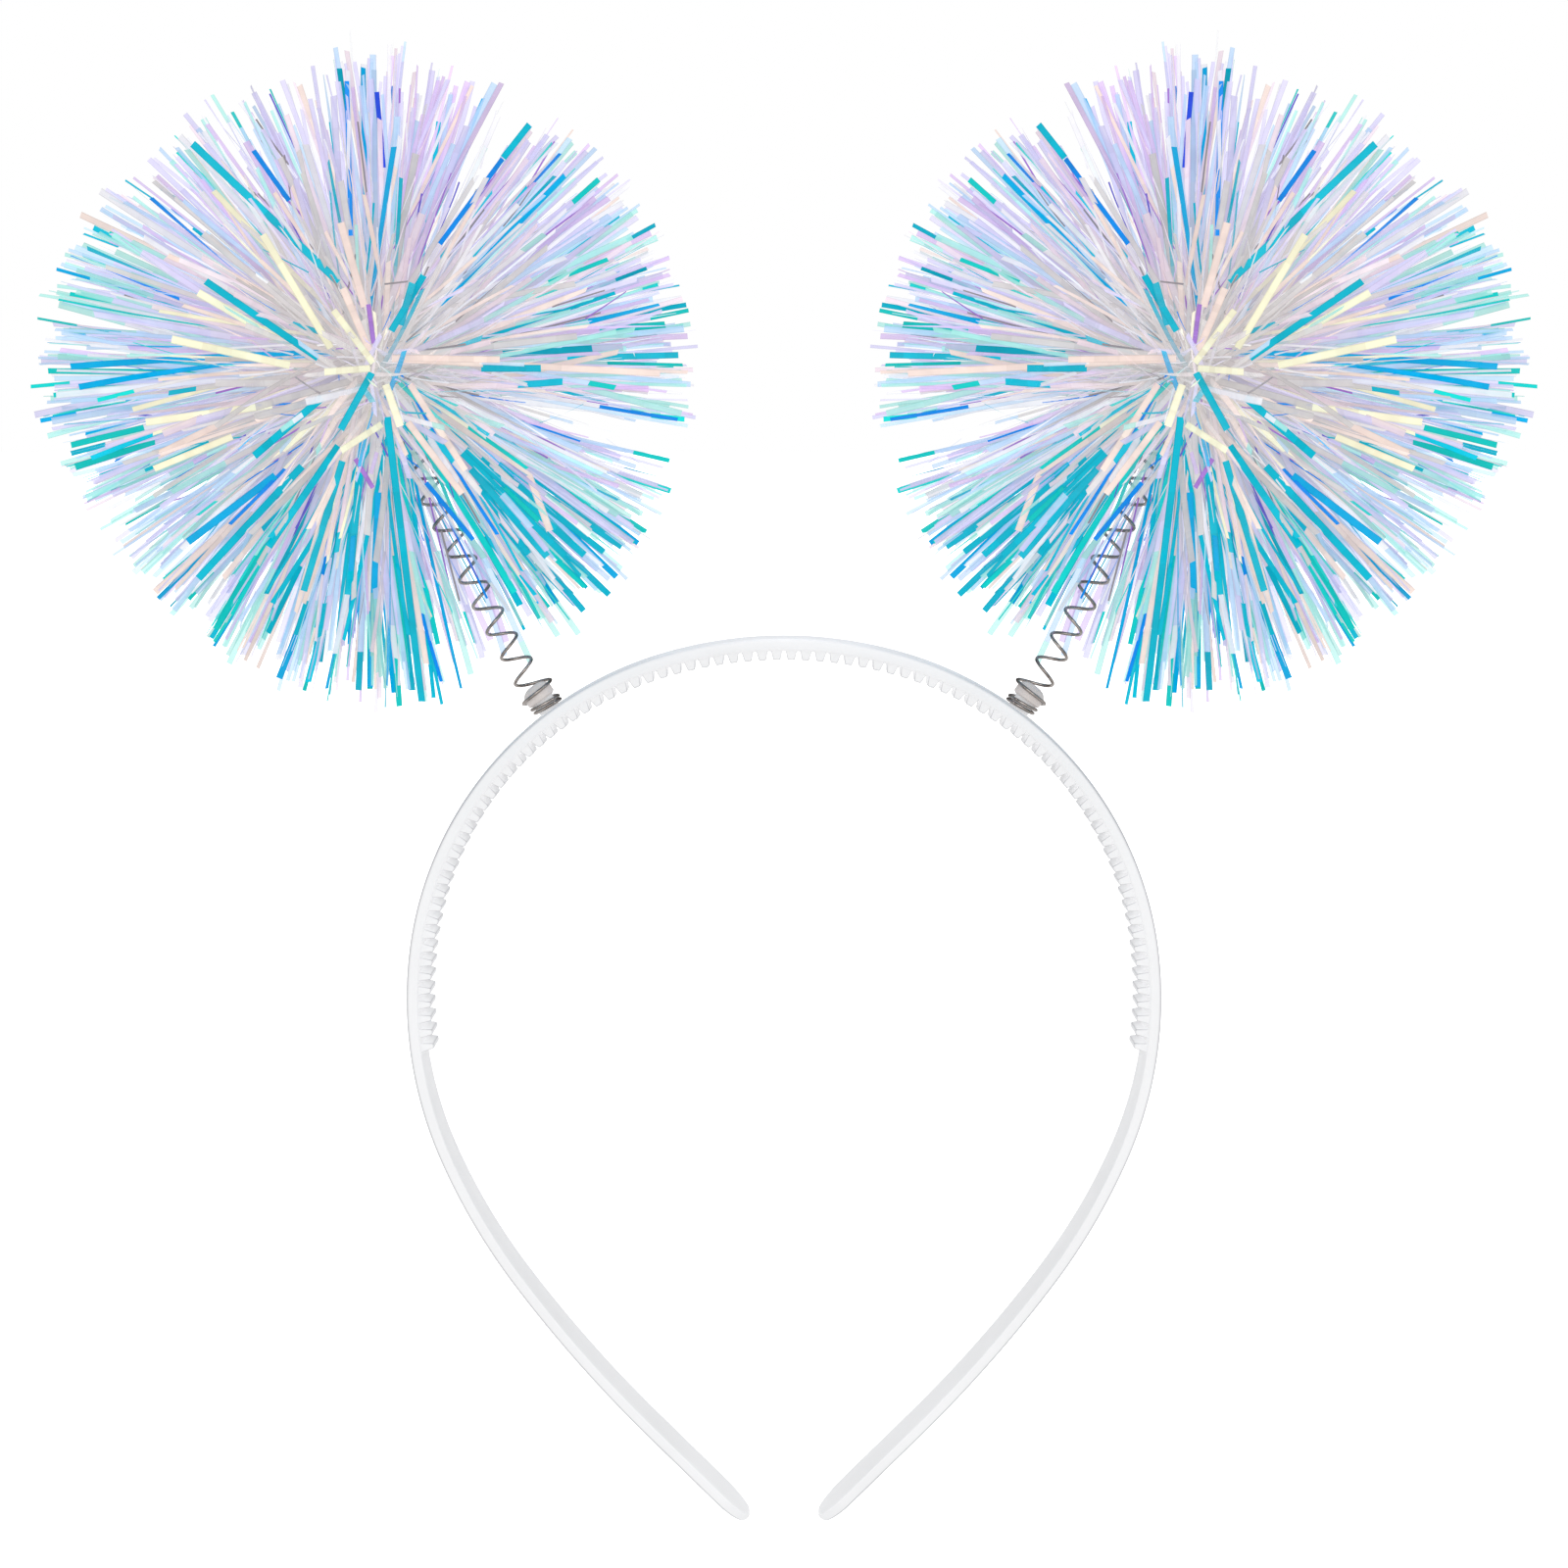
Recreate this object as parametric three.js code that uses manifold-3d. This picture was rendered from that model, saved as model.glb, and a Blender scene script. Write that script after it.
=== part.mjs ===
// Tinsel headband: a springy plastic band that carries two tinsel pompoms on wire springs.
// Millimetres. +Z is up, +X is to the viewer's right and -Y is the front. The origin is the middle of
// the crown, at the tips of the teeth, where the band rests on the head. The left half mirrors the right.
import * as THREE from 'three';
import { mergeVertices } from 'three/addons/utils/BufferGeometryUtils.js';
import Module from 'manifold-3d';

// Clearance between pieces that touch on the real object
const GAP = 0.3;

// Band: a flat strip with soft outer edges and rounded tips
const BAND_WIDTH = 9.5;
const BAND_THICKNESS = 2.05;
const EDGE_CHAMFER = 0.25;
const TIP_ROUND = 6.5;
const TIP_THINNING = 0.5;
const TIP_FLAT = 0.02; // share of the rounding that is cut off square
const BAND_STEP = 7;
const OUTER_PROFILE = [ // shares of the half width, and depths below the outer crest
  { across: -1, depth: 0.6 },
  { across: -0.88, depth: 0.18 },
  { across: 0, depth: 0 },
  { across: 0.88, depth: 0.18 },
  { across: 1, depth: 0.6 },
];
const TIP_STEPS = 5;

// Half of the band's outer outline, from the crown to a tip: tangent arcs, then a straight arm
const OUTLINE_ARCS = [
  { radius: 70.7, degrees: 17.3 },
  { radius: 58.6, degrees: 65.2 },
  { radius: 68.2, degrees: 30.6 },
  { radius: 105.6, degrees: 13 },
  { radius: 228.5, degrees: 8.6 },
];
const ARM_STRAIGHT = 22;

// Comb: tapered teeth across the inner face, which is raised towards the back as far as they go
const COMB_END = 105.2; // from the crown, along the outer crest
const COMB_RAMP = 0.6;
const COMB_RISE = 0.55;
const TEETH_PER_SIDE = 43;
const TOOTH_PITCH = 2.46; // along the outer crest, with a gap at the middle of the crown
const TOOTH_HEIGHT = 1.45;
const TOOTH_ROOT = 1.95;
const TOOTH_TIP = 1;
const TOOTH_LENGTH = 8.3;
const TOOTH_TIP_LENGTH = 6;
const TOOTH_SINK = 0.3;

// Pegs: a neck for the spring and a domed head, square to the band's outer face
const PEG_ALONG = 41; // from the crown, along the outer crest
const PEG_SINK = 1.4;
const PEG_TOP = 4.75;
const PEG_SIDES = 16;
const PEG_PROFILE = [
  { radius: 1.8, height: -PEG_SINK },
  { radius: 1.8, height: 1.75 },
  { radius: 2.45, height: 2.15 },
  { radius: 2.5, height: 3.3 },
  { radius: 2.1, height: 4.1 },
  { radius: 1.2, height: 4.6 },
];

// Springs: close turns round the neck, a wide turn past the head, open turns and a closed end
const WIRE_RADIUS = 0.28;
const WIRE_SIDES = 5;
const STEPS_PER_TURN = 8;
const COIL_RADIUS = 2.05;
const SPRING_PROFILE = [
  { turn: 0.3, rise: 0.6, radius: 2.4 },
  { turn: 0.9, rise: 0.65, radius: 2.4 },
  { turn: 1.3, rise: 1.26, radius: 2.4 },
  { turn: 1.7, rise: 1.5, radius: 2.5 },
  { turn: 2.05, rise: 2, radius: 3.12 },
  { turn: 2.5, rise: 2.9, radius: 3.14 },
  { turn: 3, rise: 4, radius: 2.95 },
  { turn: 3.5, rise: 6.3, radius: 2.35 },
  { turn: 4.5, rise: 11, radius: COIL_RADIUS },
  { turn: 13, rise: 50.4, radius: COIL_RADIUS },
  { turn: 14, rise: 54.4, radius: COIL_RADIUS },
  { turn: 15, rise: 55.4, radius: COIL_RADIUS },
];

// Pompoms: flat locks of film strips round a bound core, parted where the spring comes in
const POMPOM_RISE = 60.95; // from the foot of the peg, along the peg
const POMPOM_LEAN = 10.8; // from the peg's line, towards the middle of the object
const SPRING_STRAIGHT = 18; // how far the peg's direction carries on into the spring's axis
const POMPOM_CORE = 8.5;
const SOCKET_FLOOR = 5.4; // from the pompom's middle
const LOCK_COUNT = 128;
const LOCK_INNER = 7;
const LOCK_OUTER = [53.5, 51, 52.8, 50];
const LOCK_ROOT_WIDTH = 1.7;
const LOCK_TIP_WIDTH = 9;
const LOCK_THICKNESS = 0.6;
const PARTING_DEGREES = 24;

const radians = THREE.MathUtils.degToRad;
const clamp = THREE.MathUtils.clamp;
const GOLDEN_ANGLE = Math.PI * (3 - Math.sqrt(5));
const CROWN_TOP = TOOTH_HEIGHT + BAND_THICKNESS;
const ARM_LENGTH = OUTLINE_ARCS.reduce((sum, arc) => sum + arc.radius * radians(arc.degrees), ARM_STRAIGHT);

const plastic = new THREE.MeshStandardMaterial({ color: 0xf1f1f4, roughness: 0.35, metalness: 0 });
const steel = new THREE.MeshStandardMaterial({ color: 0x6d6460, roughness: 0.3, metalness: 1 });
const film = new THREE.MeshStandardMaterial({ color: 0xb9d3f2, roughness: 0.2, metalness: 0.1 });

const wasm = await Module();
wasm.setup();

// The same surface with shared vertices and no collapsed triangles
function welded(geometry) {
  const bare = new THREE.BufferGeometry();
  bare.setAttribute('position', geometry.getAttribute('position'));
  bare.setIndex(geometry.getIndex());
  const merged = mergeVertices(bare);
  const corners = Array.from(merged.getIndex().array);
  const kept = [];
  for (let i = 0; i < corners.length; i += 3) {
    const triangle = corners.slice(i, i + 3);
    if (new Set(triangle).size === 3) kept.push(...triangle);
  }
  merged.setIndex(kept);
  return merged;
}

function toSolid(geometry) {
  const surface = welded(geometry);
  return new wasm.Manifold(new wasm.Mesh({
    numProp: 3,
    vertProperties: new Float32Array(surface.getAttribute('position').array),
    triVerts: new Uint32Array(surface.getIndex().array),
  }));
}

function toGeometry(solid) {
  const { numProp, vertProperties, triVerts } = solid.getMesh();
  const geometry = new THREE.BufferGeometry();
  geometry.setAttribute('position', new THREE.BufferAttribute(vertProperties, numProp));
  geometry.setIndex(new THREE.BufferAttribute(triVerts, 1));
  geometry.computeVertexNormals();
  return geometry;
}

function fused(geometries) {
  const solids = geometries.map(toSolid);
  return solids.reduce((whole, piece) => whole.add(piece));
}

// The other hand of a geometry, mirrored in X, with its faces still pointing out
function mirrored(geometry) {
  const copy = welded(geometry);
  copy.scale(-1, 1, 1);
  const corners = copy.getIndex().array;
  for (let i = 0; i < corners.length; i += 3) {
    [corners[i], corners[i + 1]] = [corners[i + 1], corners[i]];
  }
  copy.computeVertexNormals();
  return copy;
}

// A closed skin over sections that have the same number of points, capped at both ends
function loft(sections) {
  const size = sections[0].length;
  const positions = sections.flat().flatMap((point) => point.toArray());
  const triangles = [];
  for (let row = 0; row + 1 < sections.length; row += 1) {
    for (let i = 0; i < size; i += 1) {
      const a = row * size + i;
      const b = row * size + ((i + 1) % size);
      triangles.push(a, b + size, b, a, a + size, b + size);
    }
  }
  const end = (sections.length - 1) * size;
  for (let i = 1; i + 1 < size; i += 1) {
    triangles.push(0, i, i + 1, end, end + i + 1, end + i);
  }
  const geometry = new THREE.BufferGeometry();
  geometry.setAttribute('position', new THREE.Float32BufferAttribute(positions, 3));
  geometry.setIndex(triangles);
  return geometry;
}

// A place on the outer crest: the point, the direction along the band and the way in to the head
function crest(along) {
  const side = Math.sign(along);
  let left = Math.abs(along);
  let x = 0;
  let z = CROWN_TOP;
  let fall = 0;
  for (const { radius, degrees } of OUTLINE_ARCS) {
    const turn = Math.min(left / radius, radians(degrees));
    x += radius * (Math.sin(fall + turn) - Math.sin(fall));
    z -= radius * (Math.cos(fall) - Math.cos(fall + turn));
    fall += turn;
    left -= radius * turn;
  }
  x += left * Math.cos(fall);
  z -= left * Math.sin(fall);
  const slope = side * fall;
  return {
    slope,
    point: new THREE.Vector3(side * x, 0, z),
    forward: new THREE.Vector3(Math.cos(slope), 0, -Math.sin(slope)),
    inward: new THREE.Vector3(-Math.sin(slope), 0, -Math.cos(slope)),
  };
}

// The section at a place along the band, narrowed and thinned from outside in the rounded tip
function bandSection(along) {
  const { point, inward } = crest(along);
  const fromTip = (ARM_LENGTH - Math.abs(along)) / TIP_ROUND;
  const round = Math.sqrt(1 - (1 - clamp(fromTip, TIP_FLAT, 1)) ** 2);
  const half = (BAND_WIDTH / 2) * round;
  const slim = 1 - TIP_THINNING * (1 - round);
  const chamfer = EDGE_CHAMFER * round;
  const back = BAND_THICKNESS + COMB_RISE * clamp((COMB_END - Math.abs(along)) / COMB_RAMP, 0, 1);
  const profile = OUTER_PROFILE.map(({ across, depth }) => (
    { across: across * half, depth: BAND_THICKNESS * (1 - slim) + depth * slim }
  ));
  profile.push({ across: half, depth: back - chamfer });
  profile.push({ across: half - chamfer, depth: back });
  profile.push({ across: chamfer - half, depth: BAND_THICKNESS });
  profile.push({ across: -half, depth: BAND_THICKNESS - chamfer });
  return profile.map(({ across, depth }) => {
    const place = point.clone().addScaledVector(inward, depth);
    return place.setY(across);
  });
}

function bandSkin() {
  const body = ARM_LENGTH - TIP_ROUND;
  const steps = Math.round(body / BAND_STEP);
  const half = [];
  for (let i = 1; i <= steps; i += 1) half.push((body * i) / steps);
  for (let i = 1; i <= TIP_STEPS; i += 1) {
    half.push(body + TIP_ROUND * Math.sin((i / TIP_STEPS) * (Math.PI / 2)));
  }
  half.push(COMB_END - COMB_RAMP, COMB_END);
  half.sort((a, b) => a - b);
  const places = [...half.map((along) => -along).reverse(), 0, ...half];
  return loft(places.map(bandSection));
}

function tooth(along) {
  const { point, forward, inward } = crest(along);
  const section = (width, length, depth) => [
    new THREE.Vector3(-width / 2, depth, -length / 2),
    new THREE.Vector3(width / 2, depth, -length / 2),
    new THREE.Vector3(width / 2, depth, length / 2),
    new THREE.Vector3(-width / 2, depth, length / 2),
  ];
  const block = loft([
    section(TOOTH_ROOT, TOOTH_LENGTH, BAND_THICKNESS - TOOTH_SINK),
    section(TOOTH_TIP, TOOTH_TIP_LENGTH, BAND_THICKNESS + TOOTH_HEIGHT),
  ]);
  const across = new THREE.Vector3(0, 1, 0);
  return block.applyMatrix4(new THREE.Matrix4().makeBasis(forward, inward, across).setPosition(point));
}

// A peg that stands on the origin along +Z, with its foot sunk below
function peg() {
  const outline = [
    new THREE.Vector2(0, -PEG_SINK),
    ...PEG_PROFILE.map(({ radius, height }) => new THREE.Vector2(radius, height)),
    new THREE.Vector2(0, PEG_TOP),
  ];
  return new THREE.LatheGeometry(outline, PEG_SIDES).rotateX(Math.PI / 2);
}

function headbandGeometry() {
  const pieces = [bandSkin()];
  for (const side of [-1, 1]) {
    for (let i = 0; i < TEETH_PER_SIDE; i += 1) {
      pieces.push(tooth(side * (i + 0.5) * TOOTH_PITCH));
    }
    const { point, slope } = crest(side * PEG_ALONG);
    pieces.push(peg().rotateY(slope).translate(point.x, point.y, point.z));
  }
  return toGeometry(fused(pieces));
}

// The axis of the left spring, from the foot of its peg to the middle of its pompom
const springAxis = new THREE.QuadraticBezierCurve3(
  new THREE.Vector3(0, 0, 0),
  new THREE.Vector3(0, 0, SPRING_STRAIGHT),
  new THREE.Vector3(POMPOM_LEAN, 0, POMPOM_RISE),
);

// The left spring's wire, a right-handed helix about that axis
class SpringWire extends THREE.Curve {
  constructor() {
    super();
    const rows = SPRING_PROFILE.map(({ turn, rise, radius }) => new THREE.Vector3(turn, rise, radius));
    this.profile = new THREE.CatmullRomCurve3(rows);
    this.axisLength = springAxis.getLength();
  }

  getPoint(t, target = new THREE.Vector3()) {
    const { x: turn, y: rise, z: radius } = this.profile.getPoint(t);
    const share = rise / this.axisLength;
    const tangent = springAxis.getTangentAt(share);
    const aside = new THREE.Vector3(tangent.z, 0, -tangent.x);
    const angle = 2 * Math.PI * turn;
    target.copy(springAxis.getPointAt(share));
    target.addScaledVector(aside, radius * Math.cos(angle));
    target.y += radius * Math.sin(angle);
    return target;
  }
}

function springGeometry() {
  const corners = Array.from({ length: WIRE_SIDES }, (_, i) => {
    const angle = (2 * Math.PI * i) / WIRE_SIDES;
    return new THREE.Vector2(Math.cos(angle), Math.sin(angle)).multiplyScalar(WIRE_RADIUS);
  });
  const turns = SPRING_PROFILE.at(-1).turn;
  return new THREE.ExtrudeGeometry(new THREE.Shape(corners), {
    steps: Math.round(turns * STEPS_PER_TURN),
    extrudePath: new SpringWire(),
    bevelEnabled: false,
  });
}

// Directions spread evenly over a sphere
function evenDirections(count) {
  return Array.from({ length: count }, (_, i) => {
    const height = 1 - (2 * i + 1) / count;
    const ring = Math.sqrt(1 - height * height);
    const angle = i * GOLDEN_ANGLE;
    return new THREE.Vector3(ring * Math.cos(angle), ring * Math.sin(angle), height);
  });
}

// A flat lock of three sides that widens outwards along a direction and is turned about it
function lock(direction, outer, roll) {
  const section = (width, reach) => [
    new THREE.Vector3(-width / 2, reach, LOCK_THICKNESS / 3),
    new THREE.Vector3(0, reach, (-2 * LOCK_THICKNESS) / 3),
    new THREE.Vector3(width / 2, reach, LOCK_THICKNESS / 3),
  ];
  const wedge = loft([section(LOCK_ROOT_WIDTH, LOCK_INNER), section(LOCK_TIP_WIDTH, outer)]);
  wedge.rotateY(roll);
  const aim = new THREE.Quaternion().setFromUnitVectors(new THREE.Vector3(0, 1, 0), direction);
  return wedge.applyQuaternion(aim);
}

// The left pompom about its own middle
function pompomGeometry() {
  const toSpring = springAxis.getTangentAt(1).negate();
  const pieces = [new THREE.IcosahedronGeometry(POMPOM_CORE, 1)];
  evenDirections(LOCK_COUNT).forEach((direction, i) => {
    if (direction.angleTo(toSpring) < radians(PARTING_DEGREES)) return;
    pieces.push(lock(direction, LOCK_OUTER[i % LOCK_OUTER.length], i * GOLDEN_ANGLE));
  });
  const bore = COIL_RADIUS + WIRE_RADIUS + GAP;
  const socket = new THREE.CylinderGeometry(bore, bore, POMPOM_CORE, PEG_SIDES);
  socket.translate(0, SOCKET_FLOOR + POMPOM_CORE / 2, 0);
  socket.applyQuaternion(new THREE.Quaternion().setFromUnitVectors(new THREE.Vector3(0, 1, 0), toSpring));
  return toGeometry(fused(pieces).subtract(toSolid(socket)));
}

function named(name, geometry, material) {
  const mesh = new THREE.Mesh(geometry, material);
  mesh.name = name;
  return mesh;
}

// A spring and its pompom, in a group that stands on the peg's foot
function bopper(side, label, spring, pompom) {
  const { point, slope } = crest(side * PEG_ALONG);
  const springMesh = named(`spring_${label}`, spring, steel);
  const pompomMesh = named(`pompom_${label}`, pompom, film);
  pompomMesh.position.set(-side * POMPOM_LEAN, 0, POMPOM_RISE);
  const group = new THREE.Group();
  group.position.copy(point);
  group.rotation.y = slope;
  group.add(springMesh, pompomMesh);
  return group;
}

const spring = springGeometry();
const pompom = pompomGeometry();
const tinselHeadband = new THREE.Group();
tinselHeadband.add(named('headband', headbandGeometry(), plastic));
tinselHeadband.add(bopper(-1, 'left', spring, pompom));
tinselHeadband.add(bopper(1, 'right', mirrored(spring), mirrored(pompom)));

export default tinselHeadband;
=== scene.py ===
import math

import bpy
import numpy as np
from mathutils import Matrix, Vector


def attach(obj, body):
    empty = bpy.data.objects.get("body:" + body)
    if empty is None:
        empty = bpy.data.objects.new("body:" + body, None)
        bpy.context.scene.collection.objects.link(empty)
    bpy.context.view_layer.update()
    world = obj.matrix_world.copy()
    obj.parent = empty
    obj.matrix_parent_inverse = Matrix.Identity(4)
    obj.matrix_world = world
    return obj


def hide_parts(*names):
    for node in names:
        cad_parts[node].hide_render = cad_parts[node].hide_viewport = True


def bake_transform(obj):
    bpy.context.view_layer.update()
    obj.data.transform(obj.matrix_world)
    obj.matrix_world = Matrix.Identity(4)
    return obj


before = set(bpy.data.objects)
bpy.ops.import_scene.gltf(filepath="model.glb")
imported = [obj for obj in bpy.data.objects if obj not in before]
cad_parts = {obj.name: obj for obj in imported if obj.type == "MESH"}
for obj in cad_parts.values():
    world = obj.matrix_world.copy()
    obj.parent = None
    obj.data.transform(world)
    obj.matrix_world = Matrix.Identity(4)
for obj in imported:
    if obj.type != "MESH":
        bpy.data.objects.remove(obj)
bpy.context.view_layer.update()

MM = 0.001

# Band: a flat strip with soft outer edges and rounded tips
BAND_WIDTH = 9.5
BAND_THICKNESS = 2.05
DOME = 0.2  # how far the outer face falls to its edges
SHOULDER_ROUND = 0.45
EDGE_ROUND = 0.3
TIP_ROUND = 6.5
TIP_THINNING = 0.3
TIP_FLAT = 0.004  # share of a rounding's length where it is cut off square
TIP_EDGE = 0.9  # length over which the end of a tip is rounded off
BAND_STEP = 1.5
TIP_STEPS = 18
DOME_STEPS = 8
ROUND_STEPS = 4
BAND_CREASE = 38  # degrees between faces from which an edge is sharp
# Grey lines on the band's edges are painted shade: dark outlines where its rounded edges turn away from the
# light
LINE_SLOPE = 60  # slope of the band, in degrees, from which its front outer edge is a full grey line of painted shade
LINE_MIDDLE = 0.8  # grey in the middle of a rounded outer edge, as a share of its line
END_LINE = 0.35  # length of the painted shade line round the ends
BAND_GLOW = 0.25  # painted glow: share of its colour that the plastic gives out as light, which flattens its shading
PALE_GLOW = 0.42  # the same painted glow where it is palest
CROWN_PALE = 0.45  # painted light against shade: how pale it is on top of the crown, between the teeth at the back, and on the teeth
GAP_PALE = 0.6
TOOTH_PALE = 0.1

# Half of the band's outer outline from crown to tip: tangent arcs (radius, degrees), then a straight arm
OUTLINE_ARCS = ((70.7, 17.3), (58.6, 65.2), (68.2, 30.6), (105.6, 13.0), (228.5, 8.6))
ARM_STRAIGHT = 22.6

# Comb: tapered teeth across the inner face, which is raised towards the back as far as they go
COMB_END = 105.2
COMB_RAMP = 0.6
INNER_GREYS = (
    # distance along the band, and how much painted shade greys its plain inner face there
    (COMB_END, 0), (COMB_END + COMB_RAMP, 0.2), (140, 0.05),
)
COMB_RISE = 0.55
CROWN_RISE = 0.3  # how much more it is raised at the crown
TEETH_PER_SIDE = 43
TOOTH_PITCH = 2.46
TOOTH_HEIGHT = 1.45  # from the inner face to the part's origin at the crown
TOOTH_REACH = 1.7  # from the inner face to the soft tips at the crown
TOOTH_ROOT = 2.15
TOOTH_TIP = 1.15
ARM_TOOTH_SHARE = 0.76  # width of the teeth on the upright arms, as a share of the crown's
ARM_TOOTH_REACH = 0.4  # how much farther they reach there
TOOTH_LENGTH = 8.3
TOOTH_TIP_LENGTH = 6.8
TOOTH_SINK = 0.3
TOOTH_SOFT = 0.3
TOOTH_CORNER = 0.2
TOOTH_RINGS = (
    # height, inset in shares of the softening, and how grey its corners and walls are, as painted shade
    (-TOOTH_SINK, 0, 0.2, 0),
    (TOOTH_REACH - TOOTH_SOFT, 0, 1, 0),
    (TOOTH_REACH - 0.3 * TOOTH_SOFT, 0.14, 1, 0.5),
    (TOOTH_REACH, 0.5, 0.3, 0.25),
)

# Pegs: (radius, height) up the outside, from the sunk foot to the domed head
PEG_ALONG = 41.0
PEG_SIDES = 40
PEG_NECK = 1.9  # height up to which the peg is as white as the band; above it the head is greyed as painted shade
PEG_PROFILE = (
    (1.8, -1.4), (1.8, 1.65), (1.9, 1.8), (2.35, 2.05), (2.5, 2.2), (2.53, 3.2), (2.46, 3.55),
    (2.28, 3.92), (1.98, 4.24), (1.55, 4.5), (0.95, 4.69), (0.3, 4.75),
)

# Springs: (turn, rise, radius) of the wire's middle line
WIRE_RADIUS = 0.28
WIRE_SIDES = 10
WIRE_CREASE = 60
WIRE_ENDS = (0.35, 0.8)  # thickness of the last two rings at each end, as shares
STEPS_PER_TURN = 36
SPRING_PROFILE = (
    (0.3, 0.75, 2.35), (0.5, 0.85, 2.35), (1, 0.34, 2.45), (1.5, 1.55, 2.45), (2, 0.98, 2.5),
    (2.2, 1.6, 2.75), (2.5, 3.05, 3.0), (3, 3.9, 2.95), (3.5, 6.3, 2.35), (4.5, 11, 2.05),
    (13, 50.4, 2.05), (14, 54.4, 2.05), (15, 55.4, 2.05),
)
SPRING_STRAIGHT = 18.0
PEG_TOP = PEG_PROFILE[-1][1]
AXIS_STEPS = 400
BEND_END = 32.0  # up the spring, a second place on its axis; the point worked out there is not used
SPRING_SEEN = 45.0  # up the spring, a place that shows where it comes out of the pompom
TINY = 1e-12  # keeps a division by nothing from failing

# Pompoms: their middle in the peg's frame, and the film strips
POMPOM_RISE = 60.95
POMPOM_LEAN = 10.8
STRIP_COUNT = 2650
STRIP_SEGMENTS = 8
STRIP_WIDTHS = (0.5, 1.15)
STRIP_COLUMNS = (-0.5, -0.38, 0.38, 0.5)  # shares of the width: thin edges and a wide middle
# painted shade: how much darker the thin edges of each strip are
EDGE_SHADE = 0.84
STRIP_TWIST = 1.1  # radians from root to tip, as a spread
STRIP_BOW = 1.8  # how far the tips bend aside, as a spread
DIRECTION_SPREAD = 0.03
CLUMPS = 190
CLUMP_SPREAD = 0.06
CLUMP_PULL = 0.3
FACE_REACH = 51.5  # how far the strips reach that point to the front or back
REACH_SPREAD = 0.6
SHORTFALL = 2.4  # how much shorter the strips are than their limit, on average
ROOT_REACH = (1, 6)
ROOT_SPREAD = 2.2
TIP_SPREAD = 1.8
PARTING_DEGREES = 11.0  # half angle of the cone round the spring that is left free
SLIVER_COUNT = 850
SLIVER_WIDTH = 0.28
SLIVER_WIDTHS = (0.7, 1.3)  # least and most, as shares
SLIVER_REACH = (16, 48)
SLIVER_LENGTH = (7, 22)
SLIVER_SPREAD = 1.2
SLIVER_TWIST = 0.6
SLIVER_BOW = 0.8
SEED = 20
FILM_GLOW = 0.54  # painted glow: light that the film gives out itself, in place of light carried out of the strips behind
FILM_MATT = 0.6  # share of the tint that is plain reflected light

# Camera of the photograph
CAMERA_DISTANCE = 487.0
CAMERA_PITCH = 6.5
CAMERA_AIM = -20.9
CAMERA_LENS = 67.94
CAMERA_SENSOR = 36.0
CAMERA_CLIP = 10.0

CROWN_TOP = TOOTH_HEIGHT + BAND_THICKNESS
ARM_LENGTH = ARM_STRAIGHT + sum(radius * math.radians(degrees) for radius, degrees in OUTLINE_ARCS)
CAMERA_PLACE = np.array([
    0.0,
    -CAMERA_DISTANCE * math.cos(math.radians(CAMERA_PITCH)),
    CAMERA_AIM + CAMERA_DISTANCE * math.sin(math.radians(CAMERA_PITCH)),
])

# Film colours, as sRGB, with how opaque the film looks in each
FILM = {
    "lavender": ("#DAD4F7", 0.8),
    "lilac": ("#DFC2F0", 0.8),
    "pale_blue": ("#BFDEFC", 0.8),
    "mist": ("#F4F3F7", 0.85),
    "mint": ("#A9EAE0", 0.8),
    "pink": ("#F0DDE6", 0.85),
    "peach": ("#F9E4D9", 0.97),
    "cream": ("#FEFAD8", 0.98),
    "grey": ("#D8D4D2", 0.88),
    "teal": ("#00B9D0", 1.0),
    "aqua": ("#10CEC6", 1.0),
    "cyan": ("#00AEE4", 1.0),
    "blue": ("#0A8CEA", 1.0),
    "deep_blue": ("#2A50E2", 1.0),
    "indigo": ("#6A64CC", 1.0),
    "purple": ("#A674CE", 1.0),
    # not a film colour: painted shade, for thin dark strips among the others
    "shade": ("#958F93", 1.0),
}


def linear(code):
    """The linear colour of an sRGB code."""
    shares = [int(code[i:i + 2], 16) / 255 for i in (1, 3, 5)]
    return [c / 12.92 if c <= 0.04045 else ((c + 0.055) / 1.055) ** 2.4 for c in shares]


# Meshes

def make_piece(name, points, faces, material, crease=None):
    """A smooth mesh object from points in millimetres, sharp where faces meet by more than crease degrees."""
    mesh = bpy.data.meshes.new(name)
    mesh.from_pydata((np.asarray(points) * MM).tolist(), [], faces)
    mesh.materials.append(material)
    mesh.shade_smooth()
    if crease is not None:
        mesh.set_sharp_from_angle(angle=math.radians(crease))
    piece = bpy.data.objects.new(name, mesh)
    bpy.context.scene.collection.objects.link(piece)
    return piece


def loft(rings, points, faces):
    """Adds a closed skin over rings of equal size to points and faces, capped at both ends."""
    start = len(points)
    size = len(rings[0])
    for ring in rings:
        points.extend(ring)
    for row in range(len(rings) - 1):
        for i in range(size):
            a = start + row * size + i
            b = start + row * size + (i + 1) % size
            faces.append((a, b, b + size, a + size))
    last = start + (len(rings) - 1) * size
    faces.append(tuple(range(start + size - 1, start - 1, -1)))
    faces.append(tuple(range(last, last + size)))


def softened(corners):
    """An outline with each corner (x, y, soft) rounded over the length soft on both its sides."""
    outline = []
    for i, (x, y, soft) in enumerate(corners):
        corner = np.array([x, y])
        if soft == 0:
            outline.append(corner)
            continue
        before = np.array(corners[i - 1][:2]) - corner
        after = np.array(corners[(i + 1) % len(corners)][:2]) - corner
        first = corner + before * soft / np.linalg.norm(before)
        last = corner + after * soft / np.linalg.norm(after)
        for share in np.linspace(0, 1, ROUND_STEPS + 1):
            outline.append((1 - share) ** 2 * first + 2 * share * (1 - share) * corner + share**2 * last)
    return outline


# Band

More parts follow.
